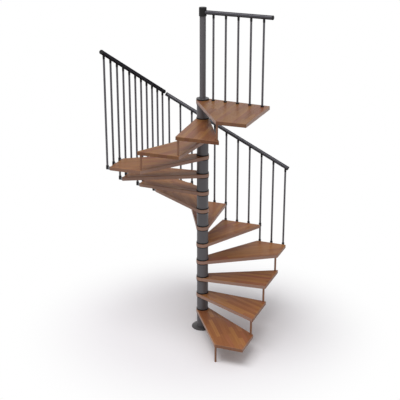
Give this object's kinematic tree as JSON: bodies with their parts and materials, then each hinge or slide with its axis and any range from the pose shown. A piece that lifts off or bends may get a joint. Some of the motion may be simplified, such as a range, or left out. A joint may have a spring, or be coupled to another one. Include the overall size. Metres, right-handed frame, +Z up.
{
  "type": "square spiral staircase",
  "caption": "Spiral staircase on a square plan: winder treads of timber round a steel column, with a landing, round handrails and slim balusters on the open sides.",
  "frame": {"origin": "centre of the base flange's underside, on the column axis at floor level", "axes": "+Z up along the column; +X to the side that the landing's outer edge faces, +Y to the rear side with the lower handrail; the stair climbs counter-clockwise seen from above"},
  "size_m": [1.6714, 1.6767, 3.838],
  "materials": {
    "tread_wood": "satin lacquered stave board",
    "post_wood": "satin",
    "column_steel": "satin grey",
    "baluster_steel": "satin dark grey",
    "dark_metal": "satin",
    "rail_black": "satin black",
    "dark_plastic": "matte",
    "bracket_metal": "satin cast"
  },
  "bodies": {
    "root": {"base_flange": "dark_metal", "centre_tube": "column_steel", "spacer_tubes": "column_steel", "tread_top_rings": "dark_plastic", "tread_low_rings": "dark_plastic", "tread_01": "tread_wood", "tread_02": "tread_wood", "tread_03": "tread_wood", "tread_04": "tread_wood", "tread_05": "tread_wood", "tread_06": "tread_wood", "tread_07": "tread_wood", "tread_08": "tread_wood", "tread_09": "tread_wood", "tread_10": "tread_wood", "tread_11": "tread_wood", "tread_12": "tread_wood", "landing": "tread_wood", "newel_disc": "dark_metal", "newel_post": "column_steel", "newel_cap": "dark_plastic", "rear_handrail": "rail_black", "left_handrail": "rail_black", "landing_handrail": "rail_black", "handrail_plugs": "dark_plastic", "rear_balusters": "baluster_steel", "left_balusters": "baluster_steel", "landing_balusters": "baluster_steel", "rear_clamps": "dark_plastic", "left_clamps": "dark_plastic", "rear_brackets": "bracket_metal", "left_brackets": "bracket_metal", "rear_top_joints": "dark_plastic", "left_top_joints": "dark_plastic", "landing_top_joints": "dark_plastic", "landing_feet": "dark_plastic", "floor_post": "post_wood", "lower_tie_posts": "post_wood", "upper_tie_posts": "post_wood"}
  },
  "joints": []
}
